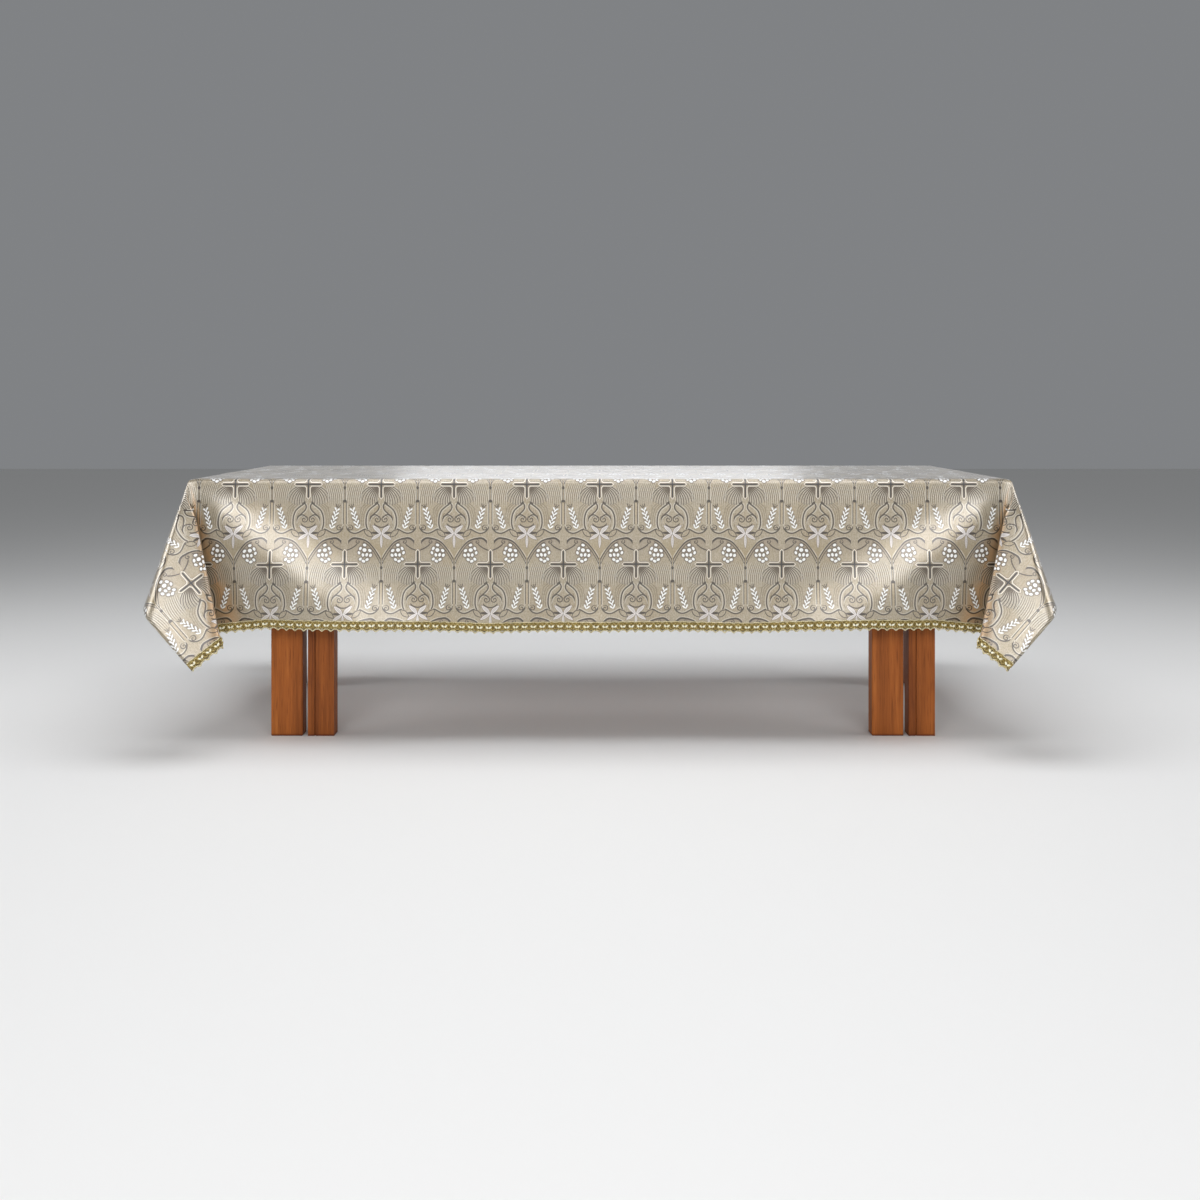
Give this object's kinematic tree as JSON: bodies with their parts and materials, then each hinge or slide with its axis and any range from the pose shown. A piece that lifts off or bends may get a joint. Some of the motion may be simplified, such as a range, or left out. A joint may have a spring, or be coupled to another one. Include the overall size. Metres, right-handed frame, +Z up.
{
  "type": "altar frontal cloth over a plain wooden table",
  "caption": "Brocade altar cloth with a looped gold braid on its front hem, draped over a long plain wooden table so that its corners fall in folded ears.",
  "frame": {"origin": "on the floor, under the middle of the table", "axes": "+X to the right along the table's length, +Y to the back, +Z up; the braided front hem faces -Y"},
  "size_m": [2.593, 1.1221, 0.7714],
  "materials": {
    "brocade": "silver and cream woven brocade with a satin shine",
    "gold_braid": "gold metallic thread gimp, looped lower edge",
    "wood": "reddish brown oiled wood, vertical grain"
  },
  "bodies": {
    "root": {"frontal_cloth": "brocade", "hem_braid": "gold_braid", "table_top": "wood", "front_rail": "wood", "back_rail": "wood", "left_end_rail": "wood", "right_end_rail": "wood", "front_left_leg_wide_post": "wood", "front_left_leg_narrow_post": "wood", "front_right_leg_wide_post": "wood", "front_right_leg_narrow_post": "wood", "back_left_leg_wide_post": "wood", "back_left_leg_narrow_post": "wood", "back_right_leg_wide_post": "wood", "back_right_leg_narrow_post": "wood"}
  },
  "joints": []
}
